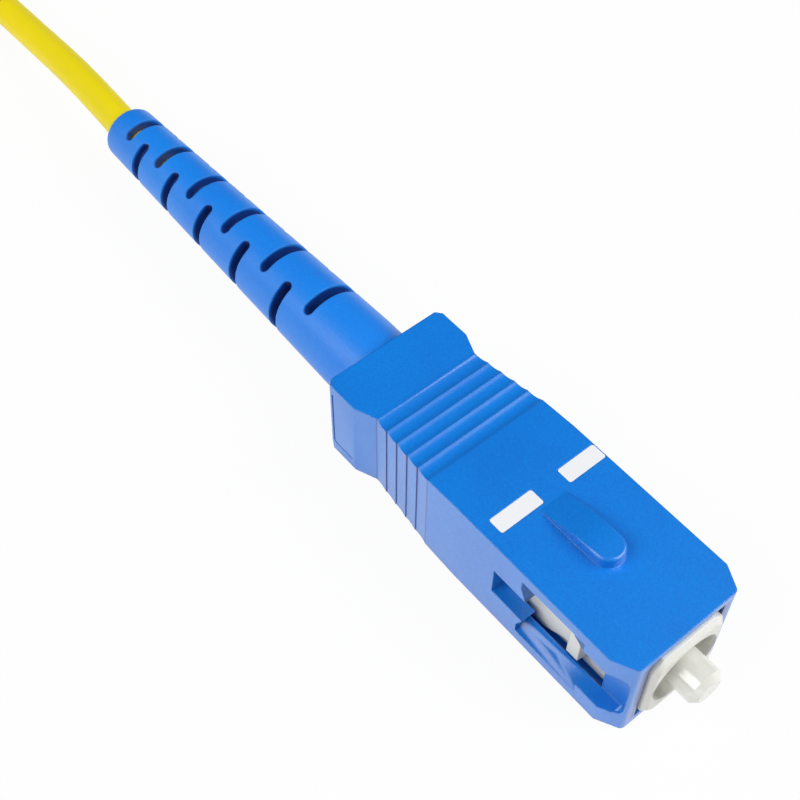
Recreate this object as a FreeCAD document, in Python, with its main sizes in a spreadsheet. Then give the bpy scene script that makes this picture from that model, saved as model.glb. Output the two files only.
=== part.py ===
"""Push-pull optical fibre connector, 2.5 mm ferrule, on a jacketed single-fibre cable.

The origin is the centre of the ferrule's polished tip. +X is the mating direction, +Z the key side.
The connector lies on the flat underside of its outer housing. All sizes are in millimetres.
"""
import FreeCAD, Part
import math
import os
import Sketcher

# ---------------------------------------------------------------- driving dimensions
DIMS = {
    # outer housing
    "tip_reach": 2.3,            # ferrule tip beyond the housing's front rim
    "housing_length": 25.5,
    "housing_width": 9.0,
    "housing_height": 7.4,
    "nose_bevel_x": 1.5,         # plan-view bevel at the front corners
    "nose_bevel_y": 0.78,
    "body_length": 13.5,         # full-section front part
    "rear_width": 8.9,
    "rear_height": 6.5,
    "rear_block": 2.6,
    "waist_width": 7.74,
    "grip_facet": 1.45,          # slanted face between the rear block and the ribs
    "rib_count": 5,
    "rib_pitch": 1.06,
    "rib_step": 0.16,
    "rib_rise": 0.11,            # how much further out each rib stands than the one behind it
    "wave_depth": 0.13,          # grip waves on the two wide faces
    "opening_width": 5.74,
    "opening_height": 6.3,
    "rail_room": 3.45,           # half width of the cavity behind the nose
    "rail_room_back": 11.6,
    "boot_gap": 0.1,             # radial clearance between boot and housing
    # windows in the narrow sides of the housing
    "window_front": 2.2,
    "cam_front": 3.2,
    "cam_back": 5.4,
    "window_back": 8.1,
    "slot_back": 10.25,
    "window_half": 2.85,
    "cam_tail": 0.45,            # slant of the web's tips between slot and window
    "cam_inner": 2.1,
    "slot_half": 1.15,
    "cam_floor": 0.66,           # depth of the cam's low end below the outer face
    "scoop_front": 0.2,
    "scoop_depth": 1.1,
    "scoop_corner": 0.6,
    # key and printed marks
    "key_width": 2.0,
    "key_height": 0.8,
    "key_front": 5.2,
    "key_back": 10.5,
    "key_ramp": 3.0,
    "key_round": 0.2,
    "mark_front": 10.75,
    "mark_length": 1.1,
    "mark_depth": 0.06,
    "left_mark_edge": 0.85,      # plain border outside the left mark
    "left_mark_width": 3.2,
    "right_mark_edge": 0.06,
    "right_mark_width": 2.85,
    # fine groove on the sides of the rear block
    "panel_groove": 0.12,
    "panel_edge": 0.45,
    "panel_half": 2.45,
    "panel_front": 0.3,
    "panel_corner": 0.25,
    # plug frame
    "slide_gap": 0.12,           # clearance between frame and housing, each side
    "frame_reach": 0.45,         # frame beyond the housing's front rim
    "frame_back": 14.5,
    "frame_corner": 0.75,
    "frame_lip": 0.3,
    "recess_radius": 2.45,
    "recess_depth": 6.4,
    "web_thickness": 1.2,
    "chamber_radius": 2.35,
    "flank_front": 1.9,          # square-cornered stretch behind the bevelled front
    "flank_half": 2.85,
    "rail_reach": 3.05,          # side rail, from the axis
    "rail_half": 1.85,
    "rail_flare_front": 5.6,
    "rail_flare_back": 7.2,
    "rail_flare_half": 2.8,
    "rail_round": 0.8,
    "rail_back": 11.0,
    "crest_reach": 3.5,          # latch shoulder, from the axis
    "crest_front": 4.1,
    "crest_back": 5.0,
    "crest_slant": 0.1,
    "stop_gap": 0.06,
    # ferrule, hub and spring
    "ferrule_radius": 1.25,
    "ferrule_length": 10.5,
    "ferrule_land": 8.2,         # from the tip to where the stretch held in the hub begins
    "ferrule_seat": 1.0,         # radius of that stretch
    "tip_bevel": 0.4,
    "ferrule_gap": 0.1,
    "float_travel": 1.2,
    "hub_radius": 2.25,
    "hub_length": 1.7,
    "hub_tail_radius": 0.95,
    "hub_tail_length": 5.0,
    "hub_bore": 0.75,
    "hub_slot": 0.7,
    "hub_slot_depth": 0.45,
    "spring_radius": 1.55,
    "spring_wire": 0.2,
    "spring_turns": 4,
    "spring_sides": 8,
    "spring_gap": 0.03,
    # rear body and crimps
    "stop_radius": 2.32,
    "stop_length": 1.6,
    "collar_radius": 2.7,
    "collar_length": 0.8,
    "neck_radius": 1.6,
    "neck_length": 6.0,
    "neck_groove": 0.12,
    "neck_groove_count": 4,
    "neck_bore": 1.05,
    "yarn_thickness": 0.22,
    "crimp_wall": 0.3,
    "crimp_length": 4.6,
    "crimp_band_count": 2,
    "yarn_inset": 0.3,           # crimp sleeve ahead of the yarn
    "cable_gap": 0.8,            # between the neck and the cable's jacket
    "eyelet_inset": 0.2,
    "eyelet_length": 4.2,
    "eyelet_wall": 0.28,
    "eyelet_gap": 0.1,
    "tube_radius": 0.7,
    "tube_bore": 0.5,
    "tube_gap": 0.8,             # behind the ferrule when it is pushed fully back
    "tube_inset": 0.4,
    "buffer_radius": 0.45,
    "buffer_gap": 0.3,
    # boot
    "boot_seat": 1.6,            # gap between the rear body's collar and the boot
    "boot_length": 37.9,
    "boot_radius": 2.8,
    "boot_straight": 11.2,
    "boot_tip_radius": 1.98,
    "boot_bore": 1.3,
    "boot_cup": 2.24,
    "boot_lip": 0.45,
    "boot_step": 0.3,            # length of bore kept free behind each crimp
    "boot_turn": 15.0,
    "slot_span": 108.0,
    "slot_width": 0.85,
    "slot_count": 6,
    "slot_start": 2.3,
    "slot_pitch": 3.65,
    "slot_growth": 0.29,
    # cable
    "cable_radius": 1.2,
    "coil_middle": 28.0,
    "coil_band": 7.6,
    "coil_height": 8.8,
}

doc = FreeCAD.newDocument("fibre_connector")
sheet = doc.addObject("Spreadsheet::Sheet", "dims")
for row, (alias, value) in enumerate(DIMS.items(), start=1):
    sheet.set(f"A{row}", alias)
    sheet.set(f"B{row}", str(value))
    sheet.setAlias(f"B{row}", alias)
doc.recompute()


def size(alias):
    """The sheet's value of a named dimension."""
    return float(sheet.get(alias))


def name_all(formula):
    """A formula written with bare names, with each name pointed at the sheet."""
    words = []
    word = ""
    for sign in formula + " ":
        if sign.isalnum() or sign == "_":
            word += sign
            continue
        words.append(f"dims.{word}" if word in DIMS else word)
        words.append(sign)
        word = ""
    return "".join(words).strip()


# Stations along the axis, as formulas.
FRONT = "(-tip_reach)"
REAR = "(-tip_reach - housing_length)"
FRAME_FRONT = "(-tip_reach + frame_reach)"
FRAME_BACK = "(-tip_reach - frame_back)"
WEB_FRONT = "(-tip_reach + frame_reach - recess_depth)"
WEB_BACK = "(-tip_reach + frame_reach - recess_depth - web_thickness)"
HUB_BACK = f"({WEB_BACK} - hub_length)"
STOP_FRONT = f"({FRAME_BACK} + stop_length)"
COLLAR_BACK = f"({FRAME_BACK} - collar_length)"
NECK_BACK = f"({COLLAR_BACK} - neck_length)"
CRIMP_FRONT = f"({COLLAR_BACK} - 0.5 * (neck_length - crimp_length))"
CRIMP_BACK = f"({CRIMP_FRONT} - crimp_length)"
CABLE_START = f"({NECK_BACK} - cable_gap)"
EYELET_FRONT = f"({CABLE_START} - eyelet_inset)"
EYELET_BACK = f"({EYELET_FRONT} - eyelet_length)"
BOOT_FRONT = f"({COLLAR_BACK} - boot_seat)"
BOOT_BACK = f"({BOOT_FRONT} - boot_length)"


# ---------------------------------------------------------------- helpers
def bind(thing, **formulas):
    """Ties properties to formulas; two underscores stand for the dot in a property's path."""
    for path, formula in formulas.items():
        thing.setExpression(path.replace("__", "."), name_all(formula))


def new_body(label):
    """A PartDesign body of its own for one sub-part."""
    body = doc.addObject("PartDesign::Body", label)
    body.Label = label
    return body


def new_sketch(body, role, offset="0"):
    """A sketch on one of the body's origin planes, moved along the plane's normal by a formula."""
    plane = next(f for f in body.Origin.OriginFeatures if f.Role == role)
    sketch = body.newObject("Sketcher::SketchObject", f"{body.Label}_sketch")
    sketch.AttachmentSupport = (plane, [""])
    sketch.MapMode = "FlatFace"
    if offset != "0":
        bind(sketch, AttachmentOffset__Base__z=offset)
    return sketch


def pin_point(sketch, curve, point, across, up):
    """Holds a point of the sketch at two distances from its origin."""
    for kind, formula in (("DistanceX", across), ("DistanceY", up)):
        index = sketch.addConstraint(Sketcher.Constraint(kind, -1, 1, curve, point, 1.0))
        name = f"{kind}_{index}"
        sketch.renameConstraint(index, name)
        sketch.setExpression(f"Constraints.{name}", name_all(formula))


def polygon(sketch, corners):
    """A closed outline of straight sides through corners, each a pair of formulas."""
    first = sketch.GeometryCount
    count = len(corners)
    spots = []
    for k in range(count):
        turn = 2 * math.pi * k / count
        spots.append(FreeCAD.Vector(math.cos(turn), math.sin(turn), 0))
    for k in range(count):
        sketch.addGeometry(Part.LineSegment(spots[k], spots[(k + 1) % count]))
    for k in range(count):
        after = first + (k + 1) % count
        sketch.addConstraint(Sketcher.Constraint("Coincident", first + k, 2, after, 1))
    for k, (across, up) in enumerate(corners):
        pin_point(sketch, first + k, 1, across, up)


def rectangle(sketch, low_across, high_across, low_up, high_up):
    """An upright rectangle between four formulas."""
    polygon(sketch, [(low_across, low_up), (high_across, low_up),
                     (high_across, high_up), (low_across, high_up)])


def circle(sketch, across, up, radius):
    """A circle of a radius about a point, all formulas."""
    index = sketch.addGeometry(Part.Circle(FreeCAD.Vector(0, 0, 0), FreeCAD.Vector(0, 0, 1), 1.0))
    pin_point(sketch, index, 3, across, up)
    held = sketch.addConstraint(Sketcher.Constraint("Radius", index, 1.0))
    sketch.renameConstraint(held, f"Radius_{held}")
    sketch.setExpression(f"Constraints.Radius_{held}", name_all(radius))


def pad(body, sketch, length, both_ways=False, backwards=False):
    """Adds a prism on a sketch."""
    feature = body.newObject("PartDesign::Pad", f"{body.Label}_pad")
    feature.Profile = sketch
    feature.SideType = "Symmetric" if both_ways else "One side"
    feature.Reversed = backwards
    bind(feature, Length=length)
    doc.recompute()
    return feature


def check_cut(body, before):
    """A cut that removes nothing is a mistake in its direction."""
    if body.Shape.Volume > before - 1e-6:
        raise RuntimeError(f"{body.Tip.Label} removed nothing")


def pocket(body, sketch, length=None, both_ways=False, backwards=False):
    """Cuts a prism on a sketch, right through where no length is given."""
    before = body.Shape.Volume
    feature = body.newObject("PartDesign::Pocket", f"{body.Label}_pocket")
    feature.Profile = sketch
    feature.SideType = "Symmetric" if both_ways else "One side"
    feature.Reversed = backwards
    if length is None:
        feature.Type = "ThroughAll"
    else:
        bind(feature, Length=length)
    doc.recompute()
    check_cut(body, before)
    return feature


def turned(body, profile):
    """A solid of revolution about X; the profile's corners are (x, radius) formulas."""
    sketch = new_sketch(body, "XZ_Plane")
    polygon(sketch, profile)
    feature = body.newObject("PartDesign::Revolution", f"{body.Label}_turned")
    feature.Profile = sketch
    feature.ReferenceAxis = (sketch, ["H_Axis"])
    feature.Angle = 360
    doc.recompute()
    return feature


def edges_where(shape, test):
    """The names of the edges whose bounding boxes pass a test."""
    return [f"Edge{k}" for k, edge in enumerate(shape.Edges, start=1) if test(edge.BoundBox)]


def rounded(body, test, radius):
    """Rounds the body's edges that pass a test."""
    tip = body.Tip
    feature = body.newObject("PartDesign::Fillet", f"{body.Label}_round")
    feature.Base = (tip, edges_where(tip.Shape, test))
    bind(feature, Radius=radius)
    doc.recompute()
    return feature


def bevelled(body, test, width):
    """Bevels the body's edges that pass a test."""
    tip = body.Tip
    feature = body.newObject("PartDesign::Chamfer", f"{body.Label}_bevel")
    feature.Base = (tip, edges_where(tip.Shape, test))
    bind(feature, Size=width)
    doc.recompute()
    return feature


# ---------------------------------------------------------------- outer housing
def grip_side():
    """Half the plan outline, from the front rim to the rear face, as (x, half width) formulas."""
    points = [
        (FRONT, "0.5 * housing_width - nose_bevel_y"),
        (f"{FRONT} - nose_bevel_x", "0.5 * housing_width"),
        (f"{FRONT} - body_length", "0.5 * housing_width"),
    ]
    ribs = int(size("rib_count"))
    grip_back = f"({REAR} + rear_block + grip_facet)"
    for k in reversed(range(ribs)):
        back = f"{grip_back} + rib_pitch * {k}"
        front = f"{grip_back} + rib_pitch * {k + 1}"
        outward = f"0.5 * waist_width + rib_rise * {k}"
        points.append((front, f"{outward} + rib_step"))
        points.append((back, outward))
    points += [
        (f"{REAR} + rear_block", "0.5 * rear_width"),
        (REAR, "0.5 * rear_width"),
    ]
    return points


LEFT_MARK = ("-0.5 * housing_width + left_mark_edge",
             "-0.5 * housing_width + left_mark_edge + left_mark_width")
RIGHT_MARK = ("0.5 * housing_width - right_mark_edge - right_mark_width",
              "0.5 * housing_width - right_mark_edge")


def outer_housing():
    """The coupling sleeve: a moulded shell with grip ribs, cam windows, a key and a scooped nose."""
    body = new_body("outer_housing")
    outline = new_sketch(body, "XY_Plane")
    side = grip_side()
    polygon(outline, [(x, half) for x, half in side] + [(x, f"-({half})") for x, half in reversed(side)])
    pad(body, outline, "housing_height", both_ways=True)

    # The wide faces fall away from the front body to the lower rear block.
    slopes = new_sketch(body, "XZ_Plane")
    ramp_front = f"{FRONT} - body_length"
    ramp_back = f"{REAR} + rear_block + grip_facet"
    for sign in ("", "-"):
        polygon(slopes, [
            (ramp_front, f"{sign}0.5 * housing_height"),
            (ramp_back, f"{sign}0.5 * rear_height"),
            (f"{REAR} - 1", f"{sign}0.5 * rear_height"),
            (f"{REAR} - 1", f"{sign}(0.5 * housing_height + 1)"),
            (ramp_front, f"{sign}(0.5 * housing_height + 1)"),
        ])
    pocket(body, slopes, both_ways=True)

    # Shallow waves across the wide faces, one above each rib.
    wave_radius = "(rib_pitch * rib_pitch / 8 / wave_depth + wave_depth / 2)"
    for k in range(int(size("rib_count"))):
        wave = new_sketch(body, "XZ_Plane")
        along = f"(rib_pitch * ({k} + 0.5))"
        share = f"({along} / (housing_length - rear_block - grip_facet - body_length))"
        face = f"(0.5 * rear_height + 0.5 * (housing_height - rear_height) * {share})"
        for sign in ("", "-"):
            circle(wave, f"{ramp_back} + {along}", f"{sign}({face} + {wave_radius} - wave_depth)", wave_radius)
        pocket(body, wave, both_ways=True)

    # The cavity for the plug frame, wider behind the nose, and the round opening for the boot.
    cavity = new_sketch(body, "YZ_Plane", FRONT)
    rectangle(cavity, "-0.5 * opening_width", "0.5 * opening_width",
              "-0.5 * opening_height", "0.5 * opening_height")
    pocket(body, cavity, "frame_back + stop_gap")
    room = new_sketch(body, "YZ_Plane", f"{FRONT} - window_front")
    rectangle(room, "-rail_room", "rail_room", "-0.5 * opening_height", "0.5 * opening_height")
    pocket(body, room, "rail_room_back - window_front")
    rear_opening = new_sketch(body, "YZ_Plane", REAR)
    circle(rear_opening, "0", "0", "boot_radius + boot_gap")
    pocket(body, rear_opening, "housing_length - frame_back", backwards=True)

    # A window in each narrow side: a slot behind, a wide part in front, open to the cavity.
    window = new_sketch(body, "XZ_Plane")
    polygon(window, [
        (f"{FRONT} - slot_back", "slot_half"),
        (f"{FRONT} - window_back + cam_tail", "slot_half"),
        (f"{FRONT} - window_back", "cam_inner"),
        (f"{FRONT} - window_front", "cam_inner"),
        (f"{FRONT} - window_front", "-cam_inner"),
        (f"{FRONT} - window_back", "-cam_inner"),
        (f"{FRONT} - window_back + cam_tail", "-slot_half"),
        (f"{FRONT} - slot_back", "-slot_half"),
    ])
    pocket(body, window, both_ways=True)

    # Cams above and below the opening: low behind, ramped out to the face in front.
    for low in ("cam_inner", "-window_half"):
        cams = new_sketch(body, "XY_Plane", low)
        for sign in ("", "-"):
            polygon(cams, [
                (f"{FRONT} - cam_front", f"{sign}(0.5 * housing_width)"),
                (f"{FRONT} - cam_front", f"{sign}(0.5 * housing_width + 1)"),
                (f"{FRONT} - window_back", f"{sign}(0.5 * housing_width + 1)"),
                (f"{FRONT} - window_back", f"{sign}(0.5 * housing_width - cam_floor)"),
                (f"{FRONT} - cam_back", f"{sign}(0.5 * housing_width - cam_floor)"),
            ])
        pocket(body, cams, "window_half - cam_inner", backwards=True)

    # The nose behind each bevel is scooped so that the adapter's hooks ride in over it.
    for sign in ("", "-"):
        scoop = new_sketch(body, "XZ_Plane", f"{sign}(0.5 * housing_width)")
        polygon(scoop, [
            (f"{FRONT} - window_front - 0.1", "cam_inner"),
            (f"{FRONT} - scoop_front - scoop_corner", "cam_inner"),
            (f"{FRONT} - scoop_front - 0.3 * scoop_corner", "cam_inner - 0.3 * scoop_corner"),
            (f"{FRONT} - scoop_front", "cam_inner - scoop_corner"),
            (f"{FRONT} - scoop_front", "-cam_inner + scoop_corner"),
            (f"{FRONT} - scoop_front - 0.3 * scoop_corner", "-cam_inner + 0.3 * scoop_corner"),
            (f"{FRONT} - scoop_front - scoop_corner", "-cam_inner"),
            (f"{FRONT} - window_front - 0.1", "-cam_inner"),
        ])
        pocket(body, scoop, "scoop_depth", backwards=(sign == "-"))

    # A fine L-shaped groove on each side of the rear block.
    for sign in ("", "-"):
        panel = new_sketch(body, "XZ_Plane", f"{sign}(0.5 * rear_width)")
        back = f"{REAR} + panel_edge"
        front = f"{REAR} + rear_block - panel_front"
        corner = "(panel_corner + 0.4 * panel_groove)"
        polygon(panel, [
            (back, "panel_half"),
            (back, "-panel_half + panel_corner"),
            (f"{back} + panel_corner", "-panel_half"),
            (front, "-panel_half"),
            (front, "-panel_half + panel_groove"),
            (f"{back} + {corner}", "-panel_half + panel_groove"),
            (f"{back} + panel_groove", f"-panel_half + {corner}"),
            (f"{back} + panel_groove", "panel_half"),
        ])
        pocket(body, panel, "panel_groove", backwards=(sign == "-"))

    # Shallow fields that hold the printed marks.
    fields = new_sketch(body, "XY_Plane", "0.5 * housing_height")
    for low, high in (LEFT_MARK, RIGHT_MARK):
        rectangle(fields, f"{FRONT} - mark_front - mark_length", f"{FRONT} - mark_front", low, high)
    pocket(body, fields, "mark_depth")

    # The key: round in front, ramped behind.
    key = new_sketch(body, "XY_Plane", "0.5 * housing_height - 0.1")
    round_at = f"{FRONT} - key_front - 0.5 * key_width"
    rectangle(key, f"{FRONT} - key_back", round_at, "-0.5 * key_width", "0.5 * key_width")
    pad(body, key, "key_height + 0.1")
    nose = new_sketch(body, "XY_Plane", "0.5 * housing_height - 0.1")
    circle(nose, round_at, "0", "0.5 * key_width")
    pad(body, nose, "key_height + 0.1")
    ramp = new_sketch(body, "XZ_Plane")
    polygon(ramp, [
        (f"{FRONT} - key_back - 0.01", "0.5 * housing_height"),
        (f"{FRONT} - key_back + key_ramp", "0.5 * housing_height + key_height"),
        (f"{FRONT} - key_back + key_ramp", "0.5 * housing_height + key_height + 1"),
        (f"{FRONT} - key_back - 0.01", "0.5 * housing_height + key_height + 1"),
    ])
    pocket(body, ramp, "key_width + 1", both_ways=True)
    top = size("housing_height") / 2 + size("key_height")
    rounded(body, lambda box: box.ZMin > top - 1e-4 and box.XLength > 0.5, "key_round")
    return body


def mark(label, across):
    """A printed white field, flush with the housing's top face."""
    body = new_body(label)
    field = new_sketch(body, "XY_Plane", "0.5 * housing_height - mark_depth")
    rectangle(field, f"{FRONT} - mark_front - mark_length", f"{FRONT} - mark_front", *across)
    pad(body, field, "mark_depth")
    return body


# ---------------------------------------------------------------- plug frame
FRAME_HALF = "(0.5 * opening_width - slide_gap)"
FRAME_RISE = "(0.5 * opening_height - slide_gap)"


def plug_frame():
    """The inner frame: a bevelled square tube with a latch shoulder on each narrow side."""
    body = new_body("plug_frame")
    section = new_sketch(body, "YZ_Plane", FRAME_FRONT)
    cut_y = f"{FRAME_HALF} - frame_corner"
    cut_z = f"{FRAME_RISE} - frame_corner"
    polygon(section, [
        (cut_y, FRAME_RISE), (f"-({cut_y})", FRAME_RISE),
        (f"-{FRAME_HALF}", cut_z), (f"-{FRAME_HALF}", f"-({cut_z})"),
        (f"-({cut_y})", f"-{FRAME_RISE}"), (cut_y, f"-{FRAME_RISE}"),
        (FRAME_HALF, f"-({cut_z})"), (FRAME_HALF, cut_z),
    ])
    pad(body, section, f"{FRAME_FRONT} - {FRAME_BACK}", backwards=True)
    front = size("frame_reach") - size("tip_reach")
    bevelled(body, lambda box: box.XMin > front - 1e-4, "frame_lip")

    # Square flanks behind the front, and side rails that flare out behind the latch shoulders.
    flanks = new_sketch(body, "XZ_Plane")
    rectangle(flanks, f"{FRONT} - rail_back", f"{FRONT} - flank_front", "-flank_half", "flank_half")
    pad(body, flanks, f"2 * {FRAME_HALF}", both_ways=True)
    rails = new_sketch(body, "XZ_Plane")
    edge = [
        (f"{FRONT} - crest_back", "rail_half"),
        (f"{FRONT} - rail_flare_front", "rail_half"),
        (f"{FRONT} - rail_flare_back", "rail_flare_half"),
        (f"{FRONT} - rail_back", "rail_flare_half"),
    ]
    polygon(rails, edge + [(x, f"-{half}") for x, half in reversed(edge)])
    pad(body, rails, "2 * rail_reach", both_ways=True)
    flares = [-size("tip_reach") - size(end) for end in ("rail_flare_front", "rail_flare_back")]
    rounded(body, lambda box: box.XLength < 1e-4 and any(abs(box.XMin - x) < 1e-4 for x in flares),
            "rail_round")

    # Latch shoulders: steep blocks that the adapter's hooks snap in behind.
    shoulders = new_sketch(body, "XY_Plane", "-rail_half")
    for sign in ("", "-"):
        polygon(shoulders, [
            (f"{FRONT} - crest_front + crest_slant", f"{sign}({FRAME_HALF} - 0.1)"),
            (f"{FRONT} - crest_front", f"{sign}crest_reach"),
            (f"{FRONT} - crest_back", f"{sign}crest_reach"),
            (f"{FRONT} - crest_back", f"{sign}({FRAME_HALF} - 0.1)"),
        ])
    pad(body, shoulders, "2 * rail_half")

    # The recess that takes the adapter's sleeve holder, the ferrule's hole and the spring chamber.
    recess = new_sketch(body, "YZ_Plane", FRAME_FRONT)
    circle(recess, "0", "0", "recess_radius")
    pocket(body, recess, "recess_depth")
    guide = new_sketch(body, "YZ_Plane", WEB_FRONT)
    circle(guide, "0", "0", "ferrule_radius + ferrule_gap")
    pocket(body, guide, "web_thickness + 0.1")
    chamber = new_sketch(body, "YZ_Plane", FRAME_BACK)
    circle(chamber, "0", "0", "chamber_radius")
    pocket(body, chamber, f"{WEB_BACK} - {FRAME_BACK}", backwards=True)
    return body


# ---------------------------------------------------------------- ferrule, hub and spring
def ferrule():
    """The ceramic ferrule: a bevelled tip, the ground land, and a stretch held in the hub."""
    body = new_body("ferrule")
    turned(body, [
        ("0", "0"),
        ("0", "ferrule_radius - tip_bevel"),
        ("-tip_bevel", "ferrule_radius"),
        ("-ferrule_land", "ferrule_radius"),
        ("-ferrule_land", "ferrule_seat"),
        ("-ferrule_length", "ferrule_seat"),
        ("-ferrule_length", "0"),
    ])
    return body


def ferrule_hub():
    """The metal hub: a cup round the ferrule, a notched flange and a tail that carries the fibre."""
    body = new_body("ferrule_hub")
    turned(body, [
        (WEB_BACK, "ferrule_seat"),
        (WEB_BACK, "hub_radius"),
        (HUB_BACK, "hub_radius"),
        (HUB_BACK, "hub_tail_radius"),
        (f"{HUB_BACK} - hub_tail_length", "hub_tail_radius"),
        (f"{HUB_BACK} - hub_tail_length", "hub_bore"),
        ("-ferrule_length", "hub_bore"),
        ("-ferrule_length", "ferrule_seat"),
    ])
    notches = new_sketch(body, "YZ_Plane", WEB_BACK)
    for sign in ("", "-"):
        low = f"{sign}(hub_radius - hub_slot_depth)"
        high = f"{sign}(hub_radius + hub_slot_depth)"
        rectangle(notches, "-0.5 * hub_slot", "0.5 * hub_slot", low, high)
        rectangle(notches, low, high, "-0.5 * hub_slot", "0.5 * hub_slot")
    pocket(body, notches, "hub_length")
    return body


def ferrule_spring():
    """The compression spring between the hub's flange and the rear body."""
    span = f"({HUB_BACK} - {STOP_FRONT} - 2 * spring_wire - 2 * spring_gap)"
    helix = doc.addObject("Part::Helix", "spring_path")
    bind(helix, Radius="spring_radius", Height=span, Pitch=f"{span} / spring_turns")
    helix.Placement = FreeCAD.Placement(FreeCAD.Vector(0, 0, 0), FreeCAD.Rotation(0, 90, 0))
    bind(helix, Placement__Base__x=f"{STOP_FRONT} + spring_wire + spring_gap")
    section = doc.addObject("Part::RegularPolygon", "spring_section")
    bind(section, Circumradius="spring_wire", Polygon="spring_sides")
    section.Placement = FreeCAD.Placement(FreeCAD.Vector(0, 0, 0), FreeCAD.Rotation(FreeCAD.Vector(1, 0, 0), 90))
    bind(section, Placement__Base__x=f"{STOP_FRONT} + spring_wire + spring_gap",
         Placement__Base__z="-spring_radius")
    coil = doc.addObject("Part::Sweep", "ferrule_spring")
    coil.Sections = [section]
    coil.Spine = (helix, ["Edge1"])
    coil.Solid = True
    coil.Frenet = True
    doc.recompute()
    return coil


# ---------------------------------------------------------------- rear body, crimps and fibre
def rear_body():
    """The turned rear body: spring stop, collar and a grooved neck for the crimp."""
    body = new_body("rear_body")
    profile = [
        (STOP_FRONT, "neck_bore"),
        (STOP_FRONT, "stop_radius"),
        (FRAME_BACK, "stop_radius"),
        (FRAME_BACK, "collar_radius"),
        (COLLAR_BACK, "collar_radius"),
    ]
    step = "(neck_length / neck_groove_count)"
    for k in range(int(size("neck_groove_count"))):
        middle = f"{COLLAR_BACK} - {step} * {k + 0.5}"
        profile += [
            (f"{COLLAR_BACK} - {step} * {k}", "neck_radius"),
            (middle, "neck_radius"),
            (middle, "neck_radius - neck_groove"),
            (f"{COLLAR_BACK} - {step} * {k + 1}", "neck_radius - neck_groove"),
        ]
    profile.append((NECK_BACK, "neck_bore"))
    turned(body, profile)
    return body


def tube(label, front, back, inner, outer):
    """A plain tube about the axis."""
    body = new_body(label)
    turned(body, [(front, inner), (front, outer), (back, outer), (back, inner)])
    return body


YARN_OUTER = "(neck_radius + yarn_thickness)"
CRIMP_OUTER = f"({YARN_OUTER} + crimp_wall)"
EYELET_OUTER = "(cable_radius + eyelet_wall)"
PUSHED_BACK = "(-ferrule_length - float_travel)"


def crimp_sleeve():
    """The crimped sleeve, with the shallow bands that the crimping jaws leave."""
    body = new_body("crimp_sleeve")
    lands = 2 * int(size("crimp_band_count")) + 1
    step = f"(crimp_length / {lands})"
    profile = [(CRIMP_FRONT, YARN_OUTER)]
    for k in range(lands):
        outer = CRIMP_OUTER if k % 2 == 0 else f"({CRIMP_OUTER} - 0.3 * crimp_wall)"
        profile.append((f"{CRIMP_FRONT} - {step} * {k}", outer))
        profile.append((f"{CRIMP_FRONT} - {step} * {k + 1}", outer))
    profile.append((CRIMP_BACK, YARN_OUTER))
    turned(body, profile)
    return body


# ---------------------------------------------------------------- boot
def boot():
    """The bend relief: a tapered sleeve with staggered slots that leave two webs at each station."""
    body = new_body("boot")
    turned(body, [
        (BOOT_FRONT, "boot_cup"),
        (BOOT_FRONT, "boot_radius"),
        (f"{BOOT_FRONT} - boot_straight", "boot_radius"),
        (f"{BOOT_BACK} + boot_lip", "boot_tip_radius"),
        (BOOT_BACK, "boot_tip_radius - 0.6 * boot_lip"),
        (BOOT_BACK, "boot_bore"),
        (f"{EYELET_BACK} - boot_step", "boot_bore"),
        (f"{EYELET_BACK} - boot_step", f"{EYELET_OUTER} + eyelet_gap"),
        (f"{NECK_BACK} - boot_step", f"{EYELET_OUTER} + eyelet_gap"),
        (f"{NECK_BACK} - boot_step", "boot_cup"),
    ])
    # Each slot is a turned cut of less than a full turn. The second kind sits between the first, a
    # quarter turn round, so that the webs alternate and the boot bends evenly.
    slots = int(size("slot_count"))
    for kind, count, shift, turn in (("first", slots, 0, 0), ("second", slots - 1, 0.5, 90)):
        for side in (0, 180):
            sketch = new_sketch(body, "XZ_Plane")
            sketch.Label = f"{kind}_slots"
            sketch.AttachmentOffset = FreeCAD.Placement(
                FreeCAD.Vector(0, 0, 0), FreeCAD.Rotation(FreeCAD.Vector(1, 0, 0), 45))
            bind(sketch, AttachmentOffset__Rotation__Angle=f"{turn + side + 360} - boot_turn")
            for k in range(count):
                place = k + shift
                middle = (f"({BOOT_BACK} + slot_start + slot_pitch * {place}"
                          f" + slot_growth * {place * (place - 1) / 2})")
                rectangle(sketch, f"{middle} - 0.5 * slot_width", f"{middle} + 0.5 * slot_width",
                          "0.5 * (cable_radius + boot_bore)", "boot_radius + 1")
            groove = body.newObject("PartDesign::Groove", f"{kind}_groove")
            groove.Profile = sketch
            groove.ReferenceAxis = (sketch, ["H_Axis"])
            groove.Midplane = True
            bind(groove, Angle="slot_span")
            before = body.Shape.Volume
            doc.recompute()
            check_cut(body, before)
    return body


# ---------------------------------------------------------------- cable
# The free cable's route, as points of its centreline: straight out of the boot, down on to the
# surface that the housing lies on, and along it to where the coil begins.
CABLE_ROUTE = [
    (-57.1, 0.0, 0.0),
    (-64.0, 0.55, -0.25),
    (-72.0, 0.95, -1.4),
    (-80.0, 1.25, -2.3),
    (-88.0, 1.45, -2.5),
    (-94.0, 1.5, -2.5),
]
COIL_CENTRE = (-96.0, -14.9)


def corner_arc(before, corner, after):
    """Where an arc starts and ends at a corner of the route, and its radius."""
    back = before.sub(corner)
    on = after.sub(corner)
    turn = math.pi - back.getAngle(on)
    reach = 0.45 * min(back.Length, on.Length)
    start = corner.add(back.normalize().multiply(reach))
    end = corner.add(on.normalize().multiply(reach))
    return start, end, reach / math.tan(turn / 2)


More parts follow.
